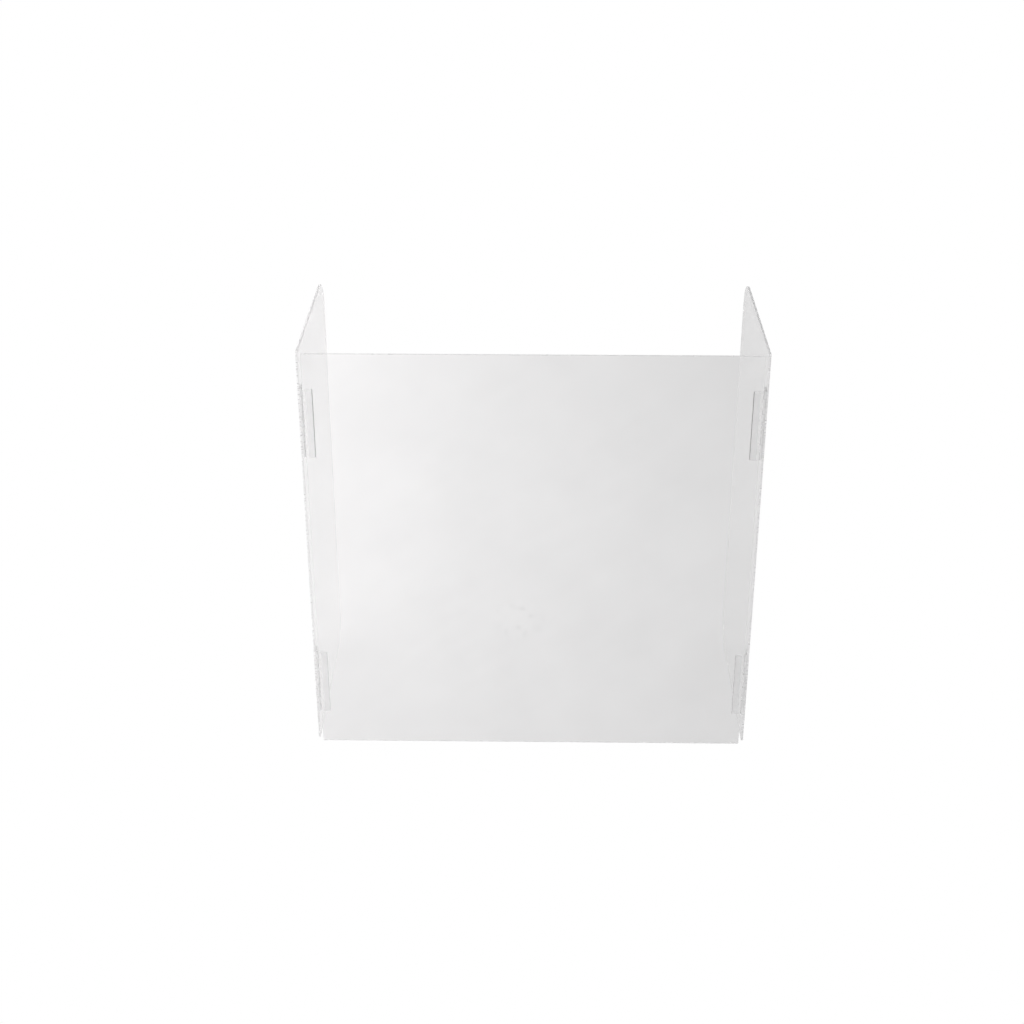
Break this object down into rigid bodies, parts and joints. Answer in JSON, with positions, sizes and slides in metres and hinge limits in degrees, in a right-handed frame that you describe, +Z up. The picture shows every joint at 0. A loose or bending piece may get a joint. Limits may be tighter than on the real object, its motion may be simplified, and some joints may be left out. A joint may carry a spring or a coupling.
{
  "type": "desk privacy panel",
  "caption": "Clear free-standing desk privacy panel: a square front sheet with a side sheet hinged to each upright edge, folding flat behind it.",
  "frame": {"origin": "middle of the footprint on the desk, with the side panels square to the front panel", "axes": "+Z up, -Y out of the front panel's outer face, +Y back along the side panels, X across the front"},
  "size_m": [0.6252, 0.3046, 0.61],
  "materials": {
    "clear_acrylic_sheet": "clear cast acrylic, polished faces, saw-cut and eased edges, light handling scratches",
    "clear_hinge_plastic": "clear extruded plastic, glossy, with a faint draw grain",
    "clear_hinge_pin": "clear drawn plastic rod, satin",
    "clear_bonding_strip": "clear double-sided adhesive film, slightly hazy"
  },
  "bodies": {
    "front": {"front_panel": "clear_acrylic_sheet", "upper_left_hinge_front_leaf": "clear_hinge_plastic", "upper_left_hinge_front_bonding_strip": "clear_bonding_strip", "upper_left_hinge_pin": "clear_hinge_pin", "upper_right_hinge_front_leaf": "clear_hinge_plastic", "upper_right_hinge_front_bonding_strip": "clear_bonding_strip", "upper_right_hinge_pin": "clear_hinge_pin", "lower_left_hinge_front_leaf": "clear_hinge_plastic", "lower_left_hinge_front_bonding_strip": "clear_bonding_strip", "lower_left_hinge_pin": "clear_hinge_pin", "lower_right_hinge_front_leaf": "clear_hinge_plastic", "lower_right_hinge_front_bonding_strip": "clear_bonding_strip", "lower_right_hinge_pin": "clear_hinge_pin"},
    "left_side": {"left_side_panel": "clear_acrylic_sheet", "upper_left_hinge_side_leaf": "clear_hinge_plastic", "upper_left_hinge_side_bonding_strip": "clear_bonding_strip", "lower_left_hinge_side_leaf": "clear_hinge_plastic", "lower_left_hinge_side_bonding_strip": "clear_bonding_strip"},
    "right_side": {"right_side_panel": "clear_acrylic_sheet", "upper_right_hinge_side_leaf": "clear_hinge_plastic", "upper_right_hinge_side_bonding_strip": "clear_bonding_strip", "lower_right_hinge_side_leaf": "clear_hinge_plastic", "lower_right_hinge_side_bonding_strip": "clear_bonding_strip"}
  },
  "joints": [
    {"name": "left_side_fold", "type": "hinge", "parent": "front", "child": "left_side", "pos_m": [-0.3076, -0.1473, 0], "axis": [0, 0, -1], "range_deg": [-140, 90]},
    {"name": "right_side_fold", "type": "hinge", "parent": "front", "child": "right_side", "pos_m": [0.3076, -0.1473, 0], "axis": [0, 0, 1], "range_deg": [-140, 90]}
  ]
}
